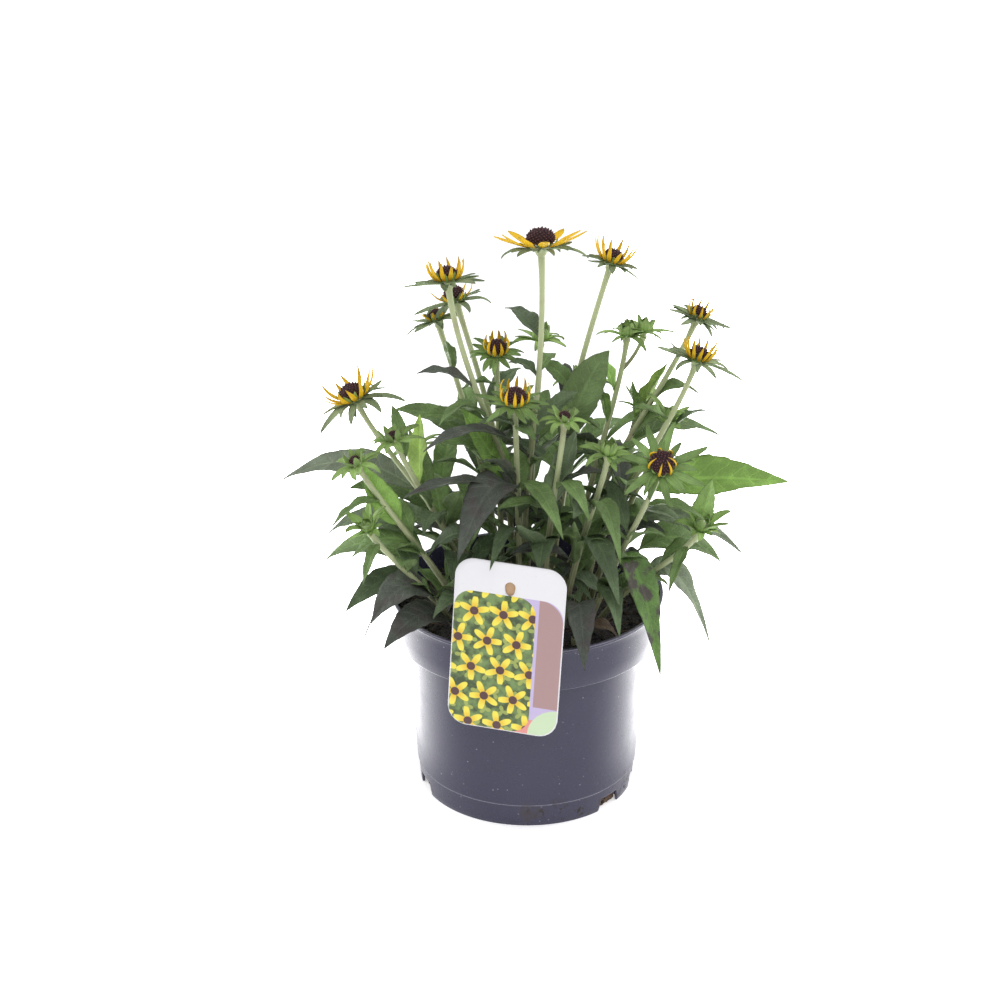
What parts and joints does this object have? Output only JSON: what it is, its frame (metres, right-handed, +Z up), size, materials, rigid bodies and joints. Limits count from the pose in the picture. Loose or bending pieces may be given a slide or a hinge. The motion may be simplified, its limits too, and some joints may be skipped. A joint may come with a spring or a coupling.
{
  "type": "potted rudbeckia plant",
  "caption": "Compact garden perennial with yellow ray flowers round dark discs, leafy bud stems and toothed leaves, growing in soil in a round nursery pot with a plant label on a stake.",
  "frame": {"origin": "on the pot's axis at the surface that the pot stands on", "axes": "+Z up along the pot's axis; -Y is the front, which carries the plant label; +X to the right as seen from the front"},
  "size_m": [0.311, 0.198, 0.3707],
  "materials": {
    "pot_plastic": "dark slate-violet moulded plastic with a satin gloss, fine specks and smudges of dried soil",
    "potting_soil": "dark moist peat potting soil with crumbs and fibres",
    "label_card": null,
    "ray_petals": "warm golden yellow petals with fine lengthwise ribs",
    "disc_florets": "dark purple-brown dome of tiny pointed florets",
    "stem_and_leaf": "hairy pale green stems, and green to bronze leaves with sunken veins and toothed edges",
    "ground_leaf": "dark green to bronze lower leaves, some of them withered"
  },
  "bodies": {
    "root": {"pot": "pot_plastic", "soil": "potting_soil", "plant_label": "label_card", "flower_1_stem_and_leaves": "stem_and_leaf", "flower_1_rays": "ray_petals", "flower_1_disc": "disc_florets", "flower_2_stem_and_leaves": "stem_and_leaf", "flower_2_rays": "ray_petals", "flower_2_disc": "disc_florets", "flower_3_stem_and_leaves": "stem_and_leaf", "flower_3_rays": "ray_petals", "flower_3_disc": "disc_florets", "flower_4_stem_and_leaves": "stem_and_leaf", "flower_4_rays": "ray_petals", "flower_4_disc": "disc_florets", "flower_5_stem_and_leaves": "stem_and_leaf", "flower_5_rays": "ray_petals", "flower_5_disc": "disc_florets", "flower_6_stem_and_leaves": "stem_and_leaf", "flower_6_rays": "ray_petals", "flower_6_disc": "disc_florets", "flower_7_stem_and_leaves": "stem_and_leaf", "flower_7_rays": "ray_petals", "flower_7_disc": "disc_florets", "flower_8_stem_and_leaves": "stem_and_leaf", "flower_8_rays": "ray_petals", "flower_8_disc": "disc_florets", "flower_9_stem_and_leaves": "stem_and_leaf", "flower_9_rays": "ray_petals", "flower_9_disc": "disc_florets", "flower_10_stem_and_leaves": "stem_and_leaf", "flower_10_rays": "ray_petals", "flower_10_disc": "disc_florets", "flower_11_stem_and_leaves": "stem_and_leaf", "flower_11_rays": "ray_petals", "flower_11_disc": "disc_florets", "bud_1_stem_and_leaves": "stem_and_leaf", "bud_1_disc": "disc_florets", "bud_2_stem_and_leaves": "stem_and_leaf", "bud_2_disc": "disc_florets", "bud_3_stem_and_leaves": "stem_and_leaf", "bud_3_disc": "disc_florets", "bud_4_stem_and_leaves": "stem_and_leaf", "bud_5_stem_and_leaves": "stem_and_leaf", "bud_6_stem_and_leaves": "stem_and_leaf", "bud_7_stem_and_leaves": "stem_and_leaf", "bud_8_stem_and_leaves": "stem_and_leaf", "bud_9_stem_and_leaves": "stem_and_leaf", "bud_10_stem_and_leaves": "stem_and_leaf", "bud_11_stem_and_leaves": "stem_and_leaf", "bud_12_stem_and_leaves": "stem_and_leaf", "ground_leaves_1": "ground_leaf", "ground_leaves_2": "ground_leaf", "ground_leaves_3": "ground_leaf", "ground_leaves_4": "ground_leaf", "ground_leaves_5": "ground_leaf", "ground_leaves_6": "ground_leaf"}
  },
  "joints": []
}
